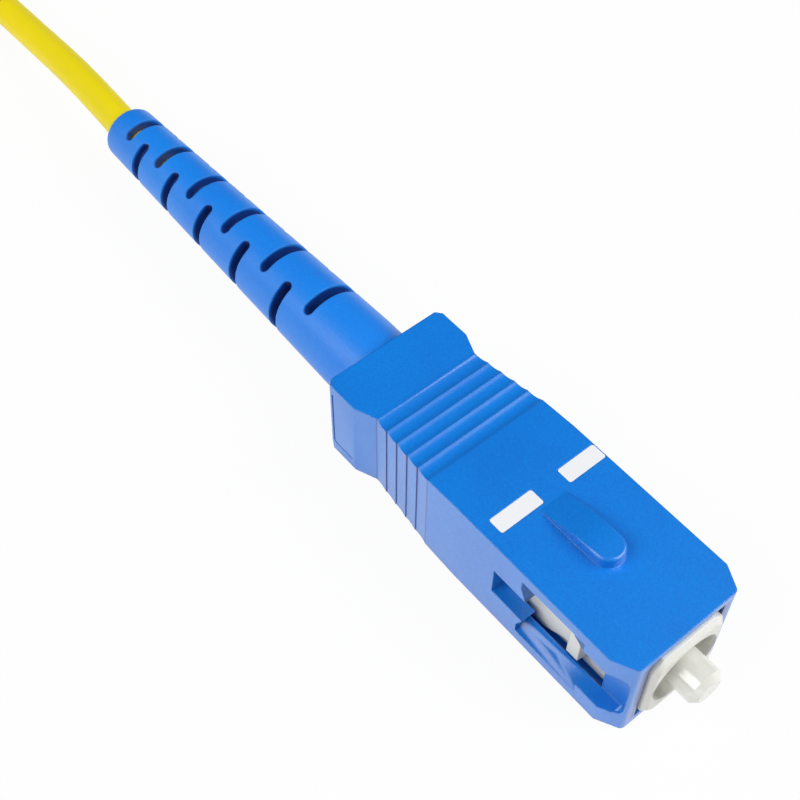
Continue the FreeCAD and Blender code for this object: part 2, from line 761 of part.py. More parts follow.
def cable_run(coil):
    """The cable where it isn't coiled: straight runs joined by tangent arcs, up to the coil's side."""
    points = [FreeCAD.Vector(*p) for p in CABLE_ROUTE]
    edges = []
    at = points[0]
    for before, corner, after in zip(points, points[1:], points[2:]):
        start, end, radius = corner_arc(before, corner, after)
        print(f"cable arc radius {radius:.1f} mm")
        inward = start.add(end).multiply(0.5).sub(corner).normalize()
        centre_off = math.hypot(radius, start.sub(corner).Length)
        middle = corner.add(inward.multiply(centre_off - radius))
        edges.append(Part.LineSegment(at, start).toShape())
        edges.append(Part.Arc(start, middle, end).toShape())
        at = end
    edges.append(Part.LineSegment(at, points[-1]).toShape())
    path = Part.Wire(edges)
    radius = size("cable_radius")
    ring = Part.Wire(Part.makeCircle(radius, points[0], points[1].sub(points[0])))
    solid = path.makePipeShell([ring], True, True)
    print(f"cable volume {solid.Volume / (math.pi * radius ** 2 * path.Length):.4f} of section x length")
    run = doc.addObject("Part::Feature", "cable_run")
    run.Shape = solid.cut(coil.Shape)
    run.Placement = FreeCAD.Placement()
    return run


def cable_coil():
    """The outer shape of the wound cable: a flat ring on the resting surface."""
    outer = doc.addObject("Part::Cylinder", "coil_outer")
    inner = doc.addObject("Part::Cylinder", "coil_inner")
    for disc, sign in ((outer, "+"), (inner, "-")):
        disc.Placement.Base = FreeCAD.Vector(*COIL_CENTRE, 0)
        bind(disc, Radius=f"0.5 * coil_middle {sign} 0.5 * coil_band", Height="coil_height",
             Placement__Base__z="-0.5 * housing_height")
    coil = doc.addObject("Part::Cut", "cable_coil")
    coil.Base = outer
    coil.Tool = inner
    doc.recompute()
    return coil


# ---------------------------------------------------------------- the parts
def build():
    """Every sub-part, in order from the front of the connector to the end of its cable."""
    coil = cable_coil()
    return [
        outer_housing(),
        mark("mark_left", LEFT_MARK),
        mark("mark_right", RIGHT_MARK),
        plug_frame(),
        ferrule(),
        ferrule_hub(),
        ferrule_spring(),
        rear_body(),
        tube("guide_tube", f"{PUSHED_BACK} - tube_gap", f"{NECK_BACK} + tube_inset",
             "tube_bore", "tube_radius"),
        tube("fibre_buffer", f"{PUSHED_BACK} - buffer_gap", CABLE_START, "0", "buffer_radius"),
        tube("aramid_wrap", f"{CRIMP_FRONT} - yarn_inset", f"{NECK_BACK}", "neck_radius", YARN_OUTER),
        crimp_sleeve(),
        tube("jacket_eyelet", EYELET_FRONT, EYELET_BACK, "cable_radius", EYELET_OUTER),
        tube("cable_in_boot", CABLE_START, BOOT_BACK, "0", "cable_radius"),
        boot(),
        cable_run(coil),
        coil,
    ]


parts = build()
doc.recompute()
for thing in doc.Objects:
    if "Invalid" in thing.State or "Error" in thing.State:
        raise RuntimeError(f"{thing.Label} failed: {thing.State}")
for part in parts:
    if part.Shape.isNull() or not part.Shape.isValid():
        raise RuntimeError(f"{part.Label} has no valid shape")
os.makedirs("parts", exist_ok=True)
for part in parts:
    part.Shape.exportStep(f"parts/{part.Label}.step")
    print(f"{part.Label}: {part.Shape.Volume:.2f} mm3, {len(part.Shape.Solids)} solid")
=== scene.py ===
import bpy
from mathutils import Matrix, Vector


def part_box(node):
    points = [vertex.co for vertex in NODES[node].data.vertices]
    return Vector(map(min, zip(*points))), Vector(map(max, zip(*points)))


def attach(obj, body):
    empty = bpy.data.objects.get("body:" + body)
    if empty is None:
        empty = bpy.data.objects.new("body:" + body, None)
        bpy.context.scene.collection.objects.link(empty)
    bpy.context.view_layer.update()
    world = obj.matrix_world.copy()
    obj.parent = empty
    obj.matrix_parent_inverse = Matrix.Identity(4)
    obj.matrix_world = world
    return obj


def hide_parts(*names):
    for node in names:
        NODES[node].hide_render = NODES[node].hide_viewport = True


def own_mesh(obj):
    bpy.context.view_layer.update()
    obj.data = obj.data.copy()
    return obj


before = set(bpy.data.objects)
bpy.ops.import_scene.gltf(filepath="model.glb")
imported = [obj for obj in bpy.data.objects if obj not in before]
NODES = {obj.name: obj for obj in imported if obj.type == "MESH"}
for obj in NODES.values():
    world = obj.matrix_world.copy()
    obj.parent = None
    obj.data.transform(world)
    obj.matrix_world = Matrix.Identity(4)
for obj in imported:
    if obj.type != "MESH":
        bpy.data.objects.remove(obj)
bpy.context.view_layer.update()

import math

import bpy
from mathutils import Vector

MM = 0.001
NEAR = 0.01 * MM                  # a point this near to a place lies at it
WELD = 0.001 * MM                 # points this near to each other are joined
CABLE = 2.4 * MM
REST_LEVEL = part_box("cable_coil")[0][2]

# ---------------------------------------------------------------- sizes, in millimetres
HOUSING_LOW, HOUSING_HIGH = [Vector(corner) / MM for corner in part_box("outer_housing")]
CAVITY_HALF_WIDTH = 3.3
CAVITY_HALF_HEIGHT = 3.05
RIB_START = HOUSING_LOW.x + 4.05  # the foot of the rearmost rib
RIB_PITCH = 1.06
RIB_COUNT = 5
CORNER_HEIGHT = 5                 # the least height of an outer corner's edge
REAR_CORNER, REAR_REACH = 0.4, 4.4  # the corner's radius, and how far out its edge lies at least
NOSE_CORNER, NOSE_REACH = 0.2, 3.6
MARK_CORNER = 0.14
FRAME_EDGE = 0.06
EJECTOR_PLACES = (-8.0, -21.5)
EJECTOR_RADIUS = 0.9

BOOT_LOW, BOOT_HIGH = [Vector(corner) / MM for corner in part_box("boot")]
BOOT_STRAIGHT = 11.2              # the front stretch, before the taper
BOOT_TIP = 1.98                   # the radius at the taper's rear end
BOOT_LIP = 0.45                   # the length behind that
BOOT_TAPER = (BOOT_HIGH.z - BOOT_TIP) / (BOOT_HIGH.x - BOOT_STRAIGHT - BOOT_LOW.x - BOOT_LIP)
BOOT_RIM = 0.5                    # the radius that rounds the rear end
BOOT_EDGE = 0.1                   # the other edges' bevel
BOOT_FACETS = 96
CUP_BORE = 2.24                   # the boot's three bores, as radii
EYELET_BORE = 1.58
CABLE_BORE = 1.3
BORE_STEP = 0.3                   # the length kept free behind each crimp
NECK_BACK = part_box("rear_body")[0][0] / MM
EYELET_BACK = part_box("jacket_eyelet")[0][0] / MM

SLOT_HALF_WIDTH = 0.4
SLOT_SPAN = 90                    # degrees, without the round ends
SLOT_TURN = -15                   # degrees, from the key's side
SLOT_REACH = 3.4                  # a cutter's outer radius, clear of the boot
OPEN_SLOT = 1.25                  # a cutter's inner radius, down to the cable
# A blind slot's skin over the cable carries the slots' painted shade, so that it reads dark.
BLIND_SLOT = 1.45                 # the same, with a skin left over the cable
SLOT_STATIONS = 6
OPEN_STATIONS = 2
SLOT_START = 2.3                  # from the boot's rear end to the first station
SLOT_PITCH = 3.65                 # from there to the second
SLOT_GROWTH = 0.29                # by which each pitch is longer than the one behind it


# ---------------------------------------------------------------- shader helpers
class Wire:
    """A shader socket on which Python's operators build Math nodes."""

    def __init__(self, graph, socket):
        self.graph = graph
        self.socket = socket

    def _math(self, operation, *values):
        return self.graph.node("ShaderNodeMath", {"operation": operation}, dict(enumerate(values)))

    def __add__(self, other):
        return self._math("ADD", self, other)

    def __radd__(self, other):
        return self._math("ADD", other, self)

    def __sub__(self, other):
        return self._math("SUBTRACT", self, other)

    def __rsub__(self, other):
        return self._math("SUBTRACT", other, self)

    def __mul__(self, other):
        return self._math("MULTIPLY", self, other)

    def __rmul__(self, other):
        return self._math("MULTIPLY", other, self)

    def above(self, edge, soft):
        """0 below an edge and 1 above it, blended over a soft width to each side."""
        return self.graph.node("ShaderNodeMapRange", {"interpolation_type": "SMOOTHSTEP"},
                               {"Value": self, "From Min": edge - soft, "From Max": edge + soft})

    def size(self):
        """The value without its sign."""
        return self._math("ABSOLUTE", self)

    def beat(self, length):
        """How far the value is from the nearest multiple of a length."""
        return self._math("PINGPONG", self, 0.5 * length)

    def beyond(self, other):
        """The larger of two values."""
        return self._math("MAXIMUM", self, other)

    def root(self):
        """The square root."""
        return self._math("SQRT", self)


class Graph:
    """A node tree of a material or of the world."""

    def __init__(self, tree):
        self.tree = tree

    def node(self, kind, settings=None, inputs=None, output=0):
        """Adds a node, sets it up, and feeds its sockets with values or links."""
        made = self.tree.nodes.new(kind)
        for key, value in (settings or {}).items():
            setattr(made, key, value)
        for key, value in (inputs or {}).items():
            if isinstance(value, Wire):
                self.tree.links.new(value.socket, made.inputs[key])
            else:
                made.inputs[key].default_value = value
        return Wire(self, made.outputs[output])

    def ray(self, kind):
        """1 for the rays of one kind: Camera, Glossy or Transmission."""
        return self.node("ShaderNodeLightPath", output=f"Is {kind} Ray")

    def show(self, surface, output):
        """Links a shader to the tree's own output node."""
        self.tree.links.new(surface.socket, self.tree.nodes[output].inputs["Surface"])


class Finish(Graph):
    """One material and its Principled shader."""

    def __init__(self, name, **constants):
        self.material = bpy.data.materials.new(name)
        self.material.use_nodes = True
        super().__init__(self.material.node_tree)
        self.shader = self.tree.nodes["Principled BSDF"]
        for socket, value in constants.items():
            self.shader.inputs[socket.replace("_", " ")].default_value = value
        self.place = self.node("ShaderNodeTexCoord", output="Object")

    def axis(self, letter):
        """The object coordinate along one axis, in metres."""
        return self.node("ShaderNodeSeparateXYZ", inputs={0: self.place}, output=letter)

    def off_axis(self):
        """The distance from the connector's own axis, in metres."""
        across, up = self.axis("Y"), self.axis("Z")
        return (across * across + up * up).root()

    def faces(self, letter):
        """How far the surface faces along an axis, either way."""
        normal = self.node("ShaderNodeTexCoord", output="Normal")
        return self.node("ShaderNodeSeparateXYZ", inputs={0: normal}, output=letter).size()

    def noise(self, scale, detail, roughness=0.5, stretch=(1, 1, 1)):
        """Noise about one half, scale in cycles to the metre."""
        spread = self.node("ShaderNodeMapping", inputs={"Vector": self.place, "Scale": stretch})
        return self.node("ShaderNodeTexNoise", inputs={
            "Vector": spread, "Scale": scale, "Detail": detail, "Roughness": roughness})

    def mix(self, share, low, high):
        """A blend of two colours."""
        return self.node("ShaderNodeMix", {"data_type": "RGBA"}, {0: share, 6: low, 7: high}, output=2)

    def bump(self, height, distance, below=None):
        """A bumped normal from a height, on top of another normal where one is given."""
        inputs = {"Height": height, "Distance": distance}
        if below is not None:
            inputs["Normal"] = below
        return self.node("ShaderNodeBump", inputs=inputs)

    def rounded_edges(self, radius):
        """A normal that rounds sharp edges off."""
        return self.node("ShaderNodeBevel", {"samples": 6}, {"Radius": radius})

    def feed(self, **sockets):
        """Links the shader's own sockets and gives back the material."""
        for socket, value in sockets.items():
            self.tree.links.new(value.socket, self.shader.inputs[socket.replace("_", " ")])
        return self.material


def shade(red, green, blue):
    """A colour given as the eye sees it, from 0 to 255, in the shader's own linear scale."""
    linear = []
    for part in (red, green, blue):
        part = part / 255
        linear.append(part / 12.92 if part <= 0.04045 else ((part + 0.055) / 1.055) ** 2.4)
    return (*linear, 1.0)


# ---------------------------------------------------------------- finishes
# Dark blue for painted shade: in the housing's cavity, its rib valleys and the boot's slots.
PAINTED_SHADE_NAVY = shade(2, 44, 128)


class Moulded(Finish):
    """Moulded plastic: a fine spark-eroded grain, faint flow clouds and soft edges."""

    def __init__(self, name, colour, deep, roughness, grain=0.006 * MM, edge=0.16 * MM, gloss=0.5):
        super().__init__(name, IOR=1.62, Coat_Weight=gloss, Coat_Roughness=0.24)
        clouds = self.noise(160, 3)
        speck = self.noise(9000, 2, 0.6)
        fine = self.noise(24000, 1)
        self.tone = self.mix(clouds.above(0.5, 0.25) * 0.4 + speck.above(0.5, 0.2) * 0.6, colour, deep)
        self.rough = roughness + (speck - 0.5) * 0.12 + (clouds - 0.5) * 0.08
        self.relief = speck * (0.7 * grain) + fine * (0.3 * grain)
        self.edge = edge

    def lay_painted_shade(self, share, colour):
        """Lays painted shade, another tone, over part of the surface."""
        self.tone = self.mix(share, self.tone, colour)

    def sink(self, share, depth):
        """Sinks part of the surface by a depth."""
        self.relief = self.relief - share * depth

    def done(self):
        """Links what has been laid on, and gives back the material."""
        normal = self.bump(self.relief, 1.0, below=self.rounded_edges(self.edge))
        return self.feed(Base_Color=self.tone, Roughness=self.rough, Normal=normal)


def housing_blue():
    """The housing's plastic, darkened inside the cavity by painted shade, with painted shade lines at the
    rib feet and in the rib valleys, and two ejector marks below.
    """
    finish = Moulded("housing_blue", shade(4, 137, 238), shade(1, 116, 218), 0.32, edge=0.12 * MM)
    along, across, up = finish.axis("X"), finish.axis("Y").size(), finish.axis("Z")
    # Painted shade: the cavity inside the housing is darkened most of the way to navy.
    outside = across.above(CAVITY_HALF_WIDTH * MM, 0.25 * MM)
    outside = outside.beyond(up.size().above(CAVITY_HALF_HEIGHT * MM, 0.1 * MM))
    finish.lay_painted_shade((1 - outside) * 0.85, PAINTED_SHADE_NAVY)
    # A fine line of painted shade at the foot of each rib on the narrow sides, and faint painted shade in
    # the rib valleys on the wide ones.
    first, last = RIB_START * MM, (RIB_START + RIB_COUNT * RIB_PITCH) * MM
    margin, blend = 0.2 * MM, 0.02 * MM
    grip = along.above(first - margin, blend) * (1 - along.above(last + margin, blend))
    wide = finish.faces("Z").above(0.6, 0.1)
    from_foot = (along - first).beat(RIB_PITCH * MM)
    line = (1 - from_foot.above(0.055 * MM, 0.03 * MM)) * grip
    # Painted shade: a dark blue line where each rib's step face lies in shade.
    finish.lay_painted_shade(line * (1 - wide) * 0.95, shade(0, 72, 176))
    # Painted shade in the rib valleys on the top and bottom faces.
    valley_shade = (1 - from_foot.above(0.12 * MM, 0.3 * MM)) * grip
    finish.lay_painted_shade(valley_shade * wide * 0.12, PAINTED_SHADE_NAVY)
    # Two round marks where the mould's pins pushed on the underside.
    under = 1 - up.above(-3.5 * MM, 0.1 * MM)
    for place in EJECTOR_PLACES:
        behind = along - place * MM
        reach = (behind * behind + across * across).root()
        finish.sink(under * (1 - reach.above(EJECTOR_RADIUS * MM, 0.04 * MM)), 0.05 * MM)
    return finish.done()


def boot_blue():
    """The soft boot's plastic: a brighter, satin blue, with painted shade in the slots and a fine parting
    line.
    """
    finish = Moulded("boot_blue", shade(6, 142, 250), shade(2, 124, 234), 0.5,
                     grain=0.008 * MM, edge=0.12 * MM, gloss=0.2)
    # The outer radius along the taper, from which the depth in a slot is measured.
    into_taper = ((BOOT_HIGH.x - BOOT_STRAIGHT) * MM - finish.axis("X")).beyond(0.0)
    skin = BOOT_HIGH.z * MM - into_taper * BOOT_TAPER
    depth = (skin - finish.off_axis()).above(0.16 * MM, 0.12 * MM)
    # Painted shade: the slots' walls and floors are darkened towards navy the deeper they lie.
    finish.lay_painted_shade(depth * 0.92, PAINTED_SHADE_NAVY)
    # The mould's two halves meet in the level plane through the axis.
    seam = 1 - finish.axis("Z").size().above(0.03 * MM, 0.02 * MM)
    finish.sink(seam * finish.axis("Y").size().above(1.2 * MM, 0.1 * MM), 0.015 * MM)
    return finish.done()


def printed_white():
    """White printing ink, a little uneven."""
    finish = Finish("printed_white", Roughness=0.55)
    blot = finish.noise(5200, 3, 0.65)
    tone = finish.mix(blot.above(0.66, 0.12) * 0.35, shade(242, 244, 248), shade(222, 229, 240))
    return finish.feed(Base_Color=tone, Normal=finish.bump(blot, 0.01 * MM))


def zirconia():
    """The ferrule's polished ceramic, with the fibre's end in the middle of its tip."""
    finish = Finish("zirconia", IOR=2.0)
    rim = finish.noise(2600, 3)
    rings = finish.noise(9000, 2, stretch=(1, 0.02, 0.02))
    tone = finish.mix(rim * 0.5, shade(238, 238, 231), shade(226, 225, 215))
    core = 1 - finish.off_axis().above(0.065 * MM, 0.01 * MM)
    tone = finish.mix(core * 0.9, tone, shade(60, 64, 72))
    return finish.feed(Base_Color=tone, Roughness=0.14 + rings * 0.1, Normal=finish.bump(rings, 0.001 * MM))


def turned_metal(name, colour, roughness):
    """Plated, turned metal with lathe rings about the axis."""
    finish = Finish(name, Metallic=1.0)
    rings = finish.noise(22000, 2, 0.6, stretch=(1, 0.01, 0.01))
    tarnish = finish.noise(900, 4)
    tone = finish.mix(tarnish * 0.6, colour, shade(150, 145, 136))
    return finish.feed(Base_Color=tone, Roughness=roughness + rings * 0.15,
                       Normal=finish.bump(rings, 0.004 * MM))


def yarn():
    """Aramid yarn, its strands laid along the cable."""
    finish = Finish("aramid_yarn", Roughness=0.7)
    strands = finish.noise(16000, 3, 0.7, stretch=(0.04, 1, 1))
    tone = finish.mix(strands, shade(222, 178, 52), shade(242, 213, 110))
    return finish.feed(Base_Color=tone, Normal=finish.bump(strands, 0.03 * MM))


def jacket():
    """The cable's extruded jacket: satin, with faint clouds and specks."""
    finish = Finish("cable_jacket", IOR=1.5)
    speck = finish.noise(7000, 3, 0.6)
    clouds = finish.noise(220, 2)
    tone = finish.mix(clouds * 0.7 + speck * 0.3, shade(250, 232, 10), shade(240, 219, 6))
    return finish.feed(Base_Color=tone, Roughness=0.42 + speck * 0.16,
                       Normal=finish.bump(speck, 0.008 * MM))


BOOT_BLUE = boot_blue()
JACKET = jacket()
NICKEL = turned_metal("nickel", shade(205, 203, 198), 0.22)
FINISHES = {
    "outer_housing": housing_blue(),
    "mark_left": printed_white(),
    "mark_right": printed_white(),
    "plug_frame": Moulded("frame_white", shade(238, 238, 231), shade(230, 229, 221), 0.4, gloss=0.0).done(),
    "ferrule": zirconia(),
    "ferrule_hub": NICKEL,
    "ferrule_spring": turned_metal("spring_steel", shade(190, 190, 192), 0.2),
    "rear_body": NICKEL,
    "guide_tube": Moulded("natural_plastic", shade(228, 228, 222), shade(214, 214, 206), 0.35).done(),
    "fibre_buffer": Moulded("buffer_coating", shade(238, 236, 226), shade(226, 224, 210), 0.4).done(),
    "aramid_wrap": yarn(),
    "crimp_sleeve": turned_metal("crimp_metal", shade(208, 204, 196), 0.3),
    "jacket_eyelet": turned_metal("eyelet_metal", shade(208, 204, 196), 0.3),
    "cable_in_boot": JACKET,
    "boot": BOOT_BLUE,
    "cable_run": JACKET,
    "cable_coil": JACKET,
}
for node, material in FINISHES.items():
    mesh = NODES[node].data
    mesh.materials.clear()
    mesh.materials.append(material)


# ---------------------------------------------------------------- bench tools
def pick(*pieces):
    """Selects these pieces alone, the first as the active one."""
    bpy.ops.object.select_all(action="DESELECT")
    for piece in pieces:
        piece.select_set(True)
    if pieces:
        bpy.context.view_layer.objects.active = pieces[0]


def edit(piece):
    """Takes a piece into edit mode, all of it selected."""
    pick(piece)
    bpy.ops.object.mode_set(mode="EDIT")
    bpy.ops.mesh.select_all(action="SELECT")


def leave_edit():
    bpy.ops.object.mode_set(mode="OBJECT")


def apply(piece, kind, **settings):
    """Adds a modifier, sets it and applies it."""
    pick(piece)
    modifier = piece.modifiers.new(kind.lower(), kind)
    for key, value in settings.items():
        setattr(modifier, key, value)
    bpy.ops.object.modifier_apply(modifier=modifier.name)


def copy_of(piece, name):
    """A copy of a piece with a mesh of its own."""
    made = bpy.data.objects.new(name, piece.data.copy())
    bpy.context.collection.objects.link(made)
    return made


def weld(piece):
    """Joins the piece's doubled points, and stays in edit mode."""
    edit(piece)
    bpy.ops.mesh.remove_doubles(threshold=WELD)


def merged_copy(node, name):
    """A copy of a CAD node with its loose triangles joined into whole faces."""
    piece = copy_of(NODES[node], name)
    weld(piece)
    bpy.ops.mesh.dissolve_limited(angle_limit=math.radians(0.5))
    leave_edit()
    return piece


def round_edges(piece, radius, test):
    """Rounds the edges whose two ends pass a test."""
    edit(piece)
    bpy.ops.mesh.select_mode(type="EDGE")
    bpy.ops.mesh.select_all(action="DESELECT")
    leave_edit()
    for edge in piece.data.edges:
        edge.select = test(*[piece.data.vertices[k].co for k in edge.vertices])
    bpy.ops.object.mode_set(mode="EDIT")
    bpy.ops.mesh.bevel(offset=radius, segments=5, affect="EDGES")
    leave_edit()


def upright(a, b):
    """Whether the edge between two places stands upright."""
    return (a.xy - b.xy).length < NEAR


def soften(piece, width, angle):
    """Bevels every edge that turns by more than an angle."""
    apply(piece, "BEVEL", width=width, segments=3, limit_method="ANGLE", angle_limit=math.radians(angle))


def smooth(piece, angle=30):
    """Smooth shading over round forms, flat over flat ones."""
    pick(piece)
    bpy.ops.object.shade_smooth_by_angle(angle=math.radians(angle))
    apply(piece, "WEIGHTED_NORMAL", keep_sharp=True, weight=100)


# ---------------------------------------------------------------- boot
def boot_profile():
    """The boot's wall cut along: from the cup's mouth back over the outside, and on through the bores."""
    low, high = BOOT_LOW.x, BOOT_HIGH.x
    profile = [(high, CUP_BORE), (high, BOOT_HIGH.z - BOOT_EDGE), (high - BOOT_EDGE, BOOT_HIGH.z),
               (high - BOOT_STRAIGHT, BOOT_HIGH.z)]
    top = BOOT_TIP + (BOOT_RIM - BOOT_LIP) * BOOT_TAPER
    for degrees in range(0, 91, 18):
        angle = math.radians(degrees)
        profile.append((low + BOOT_RIM * (1 - math.sin(angle)), top - BOOT_RIM * (1 - math.cos(angle))))
    eyelet_end, neck_end = EYELET_BACK - BORE_STEP, NECK_BACK - BORE_STEP
    profile += [(low, CABLE_BORE + BOOT_EDGE), (low + BOOT_EDGE, CABLE_BORE), (eyelet_end, CABLE_BORE),
                (eyelet_end, EYELET_BORE), (neck_end, EYELET_BORE), (neck_end, CUP_BORE)]
    return [Vector((along, 0, radius)) * MM for along, radius in profile]


def boot_blank():
    """The boot before its slots: its outline drawn point by point, closed and spun about the axis."""
    outline = boot_profile()
    pick()
    bpy.ops.mesh.primitive_plane_add(size=MM)
    piece = bpy.context.object
    piece.name = piece.data.name = "bend_relief"
    edit(piece)
    bpy.ops.mesh.merge(type="CENTER")
    bpy.ops.transform.translate(value=outline[0])
    for last, place in zip(outline, outline[1:] + outline[:1]):
        bpy.ops.mesh.extrude_region_move(TRANSFORM_OT_translate={"value": place - last})
    leave_edit()
    weld(piece)
    bpy.ops.mesh.spin(steps=BOOT_FACETS, angle=2 * math.pi, center=(0, 0, 0), axis=(1, 0, 0))
    leave_edit()
    weld(piece)
    bpy.ops.mesh.normals_make_consistent(inside=False)
    leave_edit()
    return piece


def slot_cutter(inner):
    """A slot's cutter: a sector about the axis, with a round pin standing in each end of it."""
    inner, reach, half = inner * MM, SLOT_REACH * MM, SLOT_HALF_WIDTH * MM
    middle = (0, 0, 0.5 * (inner + reach))
    swing = math.radians(0.5 * SLOT_SPAN)
    pick()
    bpy.ops.mesh.primitive_plane_add(size=1, location=middle, rotation=(0.5 * math.pi, 0, 0))
    sector = bpy.context.object
    sector.scale = (2 * half, reach - inner, 1)
    bpy.ops.object.transform_apply(location=True, rotation=True, scale=True)
    edit(sector)
    bpy.ops.transform.rotate(value=swing, orient_axis="X", center_override=(0, 0, 0))
    steps = BOOT_FACETS * SLOT_SPAN // 360
    bpy.ops.mesh.spin(steps=steps, angle=-2 * swing, center=(0, 0, 0), axis=(1, 0, 0))
    bpy.ops.mesh.select_all(action="SELECT")
    bpy.ops.mesh.normals_make_consistent(inside=False)
    leave_edit()
    pins = []
    for side in (-1, 1):
        pick()
        bpy.ops.mesh.primitive_cylinder_add(vertices=24, radius=half, depth=reach - inner, location=middle)
        bpy.ops.object.transform_apply(location=True)
        pins.append(bpy.context.object)
        pins[-1].rotation_euler.x = side * swing
    pick(sector, *pins)
    bpy.ops.object.join()
    return sector


def slot_cutters():
    """A cutter at each slot's place, copied from the open kind and the blind kind, and all joined."""
    open_kind, blind_kind = slot_cutter(OPEN_SLOT), slot_cutter(BLIND_SLOT)
    cutters = []
    # The second set lies half a pitch on and a quarter turn round, so that the boot bends evenly.
    for count, shift, turn in ((SLOT_STATIONS, 0, 0), (SLOT_STATIONS - 1, 0.5, 90)):
        for side in (0, 180):
            for k in range(count):
                place = k + shift
                along = SLOT_START + SLOT_PITCH * place + 0.5 * SLOT_GROWTH * place * (place - 1)
                # Only the slots nearest the cable, above and below it, are open down to it.
                kind = open_kind if k < OPEN_STATIONS and not shift else blind_kind
                cutter = copy_of(kind, "slot")
                cutter.location.x = (BOOT_LOW.x + along) * MM
                cutter.rotation_euler.x = math.radians(turn + side + SLOT_TURN)
                cutters.append(cutter)
    pick(open_kind, blind_kind)
    bpy.ops.object.delete()
    pick(*cutters)
    bpy.ops.object.transform_apply(location=True, rotation=True)
    bpy.ops.object.join()
    return cutters[0]


def bend_relief():
    """The boot with its staggered slots, whose ends are round."""
    piece = boot_blank()
    cutters = slot_cutters()
    apply(piece, "BOOLEAN", operation="DIFFERENCE", solver="EXACT", use_self=True, object=cutters)
    pick(cutters)
    bpy.ops.object.delete()
    weld(piece)
    leave_edit()
    smooth(piece)
    piece.data.materials.clear()
    piece.data.materials.append(BOOT_BLUE)
    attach(piece, "plug")
    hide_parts("boot")


# ---------------------------------------------------------------- housing, marks, frame and spring
def coupling_sleeve():
    """The housing with its upright corners rounded, as the mould leaves them."""
    piece = merged_copy("outer_housing", "coupling_sleeve")

    def corner(end, reach):
        """A test for the tall upright edges at one end that lie further out than a reach."""
        return lambda a, b: (upright(a, b) and abs(a.z - b.z) > CORNER_HEIGHT * MM
                             and abs(a.x - end * MM) < NEAR and abs(a.y) > reach * MM)

    round_edges(piece, REAR_CORNER * MM, corner(HOUSING_LOW.x, REAR_REACH))
    round_edges(piece, NOSE_CORNER * MM, corner(HOUSING_HIGH.x, NOSE_REACH))
    smooth(piece)
    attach(piece, "sleeve")
    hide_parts("outer_housing")


def printed_field(node, name):
    """A printed mark with its corners rounded."""
    piece = merged_copy(node, name)
    round_edges(piece, MARK_CORNER * MM, upright)
    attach(piece, "sleeve")
    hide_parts(node)


def inner_frame():
    """The plug frame with softened edges."""
    piece = merged_copy("plug_frame", "inner_frame")
    soften(piece, FRAME_EDGE * MM, 38)
    smooth(piece)
    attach(piece, "plug")
    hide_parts("plug_frame")


def float_spring():
    """The ferrule's spring, given a mesh of its own; in the real plug it shortens from its front end as the
    ferrule set slides back.
    """
    piece = merged_copy("ferrule_spring", "float_spring")
    smooth(piece, 60)
    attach(piece, "plug")
    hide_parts("ferrule_spring")
    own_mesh(piece)


bend_relief()
coupling_sleeve()
printed_field("mark_left", "left_field")
printed_field("mark_right", "right_field")
inner_frame()
float_spring()


# ---------------------------------------------------------------- cable
# The free cable's route and the coil's first turn, in millimetres.
CABLE_ROUTE = [
    (-57.1, 0.0, 0.0),
    (-64.0, 0.55, -0.25),
    (-72.0, 0.95, -1.4),
    (-80.0, 1.25, -2.3),
    (-88.0, 1.45, -2.5),
    (-94.0, 1.5, -2.5),
]
COIL_CENTRE = (-96.0, -15.0)
COIL_RADIUS = 16.5
LAYER_TURNS = (3, 2, 3, 2)
LAYER_RISE = 0.89                 # in cable diameters, as turns lie in the grooves below them
TURN_POINTS = 32


def coil_points():
    """The wound turns: layers that step in, then out, each lying in the grooves of the one below."""
    points = []
    across = CABLE / MM
    radius = COIL_RADIUS
    level = CABLE_ROUTE[-1][2]
    angle = 0.5 * math.pi
    last_layer = len(LAYER_TURNS) - 1
    for layer, turns in enumerate(LAYER_TURNS):
        step_over = -across if layer % 2 == 0 else across
        for turn in range(turns):
            next_radius, next_level = radius + step_over, level
            if turn == turns - 1 and layer < last_layer:
                next_radius, next_level = radius + 0.5 * across, level + LAYER_RISE * across
            elif turn == turns - 1:
                next_radius = radius
            # A turn holds its radius for three quarters, then steps over to the next one.
            for step in range(TURN_POINTS):
                share = max(0.0, 4 * step / TURN_POINTS - 3)
                at = radius + (next_radius - radius) * share
                points.append((COIL_CENTRE[0] + at * math.cos(angle),
                               COIL_CENTRE[1] + at * math.sin(angle),
                               level + (next_level - level) * share))
                angle += 2 * math.pi / TURN_POINTS
            radius, level = next_radius, next_level
    return points


def end_rod(name, radius, start, end, tail, material):
    """A round rod at the cable's cut end, from one depth to another past the last of its points."""
    before, last = [Vector(place) * MM for place in tail]
    ahead = (last - before).normalized()
    pick()
    bpy.ops.mesh.primitive_cylinder_add(vertices=40, radius=radius, depth=end - start)
    rod = bpy.context.object
    rod.name = name
    soften(rod, 0.2 * radius, 60)
    smooth(rod, 50)
    rod.rotation_euler = ahead.to_track_quat("Z", "Y").to_euler()
    rod.location = last + ahead * (0.5 * (start + end))
    pick(rod)
    bpy.ops.object.transform_apply(location=True, rotation=True)
    rod.data.materials.append(material)
    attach(rod, "plug")
    return rod


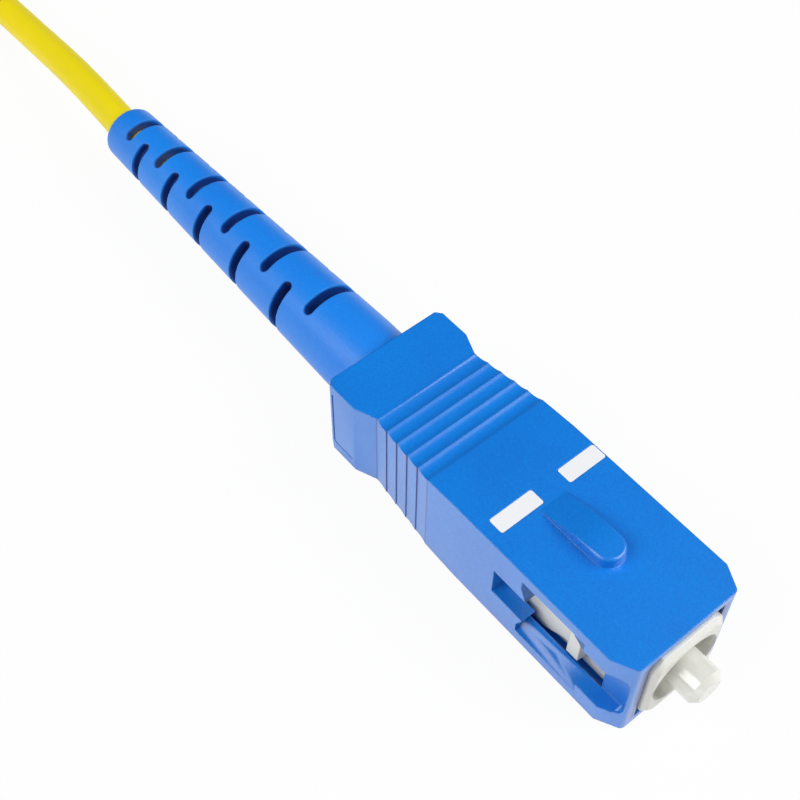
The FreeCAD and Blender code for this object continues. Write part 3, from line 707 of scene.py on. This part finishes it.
def free_cable():
    """The whole free cable as one smooth line, out of the boot and into its coil."""
    route = CABLE_ROUTE + coil_points()
    curve = bpy.data.curves.new("free_cable", "CURVE")
    curve.dimensions = "3D"
    curve.bevel_depth = CABLE / 2
    curve.bevel_resolution = 6
    curve.use_fill_caps = True
    curve.resolution_u = 4
    spline = curve.splines.new("NURBS")
    spline.points.add(len(route) - 1)
    for point, place in zip(spline.points, route):
        point.co = (*[value * MM for value in place], 1)
    spline.order_u = 3
    spline.use_endpoint_u = True
    curve.materials.append(JACKET)
    cable = bpy.data.objects.new("free_cable", curve)
    bpy.context.collection.objects.link(cable)
    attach(cable, "plug")
    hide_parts("cable_run", "cable_coil")
    # The cut end shows its strength yarn, trimmed close, and the buffered fibre.
    yarn_end = end_rod("yarn_end", 0.36 * CABLE, -0.5 * MM, 0.5 * MM, route[-2:], FINISHES["aramid_wrap"])
    buffer_end = end_rod("buffer_end", 0.45 * MM, -0.5 * MM, 2.2 * MM, route[-2:], FINISHES["fibre_buffer"])


free_cable()


# ---------------------------------------------------------------- floor, light and camera
WHITE = (1, 1, 1, 1)
PAPER = (0.86, 0.86, 0.86, 1)
PALE = (0.8, 0.8, 0.8, 1)
GLOW_SHARE = 0.95                 # how far the floor shows as plain white, over its shadow
FLOOR_SPAN = 4                    # metres
LAMP_AIM = Vector((-20, 0, 0)) * MM
CAMERA_PLACE = Vector((13.363, -33.638, 69.822)) * MM
CAMERA_AIM = Vector((-22.798, -3.766, 5.014)) * MM


def white_ground():
    """Paper that is white to the eye and in reflections, with a faint shadow under the object."""
    finish = Finish("white_ground", Base_Color=PAPER, Roughness=0.9)
    seen = finish.ray("Camera") + finish.ray("Glossy") + finish.ray("Transmission")
    paper = Wire(finish, finish.shader.outputs[0])
    glow = finish.node("ShaderNodeEmission", inputs={"Color": WHITE, "Strength": 1.0})
    both = finish.node("ShaderNodeMixShader", inputs={0: seen * GLOW_SHARE, 1: paper, 2: glow})
    finish.show(both, "Material Output")
    return finish.material


def lay_floor():
    """A wide sheet of white ground at the level that the coil lies on."""
    pick()
    bpy.ops.mesh.primitive_plane_add(size=FLOOR_SPAN, location=(0, 0, REST_LEVEL))
    floor = bpy.context.object
    floor.name = "floor"
    floor.data.materials.append(white_ground())


def point_at(holder, place, target):
    """Puts a lamp or the camera at a place, facing a target."""
    holder.location = place
    holder.rotation_euler = (Vector(target) - Vector(place)).to_track_quat("-Z", "Y").to_euler()


def hang_lamp(name, place, across, power):
    """A round soft lamp, facing the connector."""
    lamp = bpy.data.lights.new(name, "AREA")
    lamp.shape = "DISK"
    lamp.size = across
    lamp.energy = power
    holder = bpy.data.objects.new(name, lamp)
    bpy.context.collection.objects.link(holder)
    point_at(holder, place, LAMP_AIM)


def set_world(strength):
    """A dim room for light, pale where the eye looks past the floor."""
    world = bpy.data.worlds.new("studio")
    bpy.context.scene.world = world
    world.use_nodes = True
    room = Graph(world.node_tree)
    dim = room.node("ShaderNodeBackground", inputs={"Color": WHITE, "Strength": strength})
    pale = room.node("ShaderNodeBackground", inputs={"Color": PALE, "Strength": 1.0})
    both = room.node("ShaderNodeMixShader", inputs={0: room.ray("Camera"), 1: dim, 2: pale})
    room.show(both, "World Output")
    world.node_tree.nodes.remove(world.node_tree.nodes["Background"])


def set_camera():
    """The camera, above the nose and to the side of the window."""
    camera = bpy.data.cameras.new("camera")
    camera.lens = 62.39
    camera.shift_x = 0.01465
    camera.shift_y = 0.0133
    camera.clip_start = 1 * MM
    camera.clip_end = 10
    holder = bpy.data.objects.new("camera", camera)
    bpy.context.collection.objects.link(holder)
    point_at(holder, CAMERA_PLACE, CAMERA_AIM)
    bpy.context.scene.camera = holder


lay_floor()
hang_lamp("key", (0.3, 0.3, 0.42), 0.62, 3.7)
hang_lamp("fill", (-0.12, -0.42, 0.34), 0.5, 2.1)
set_world(0.07)
set_camera()
bpy.context.scene.view_settings.view_transform = "Standard"
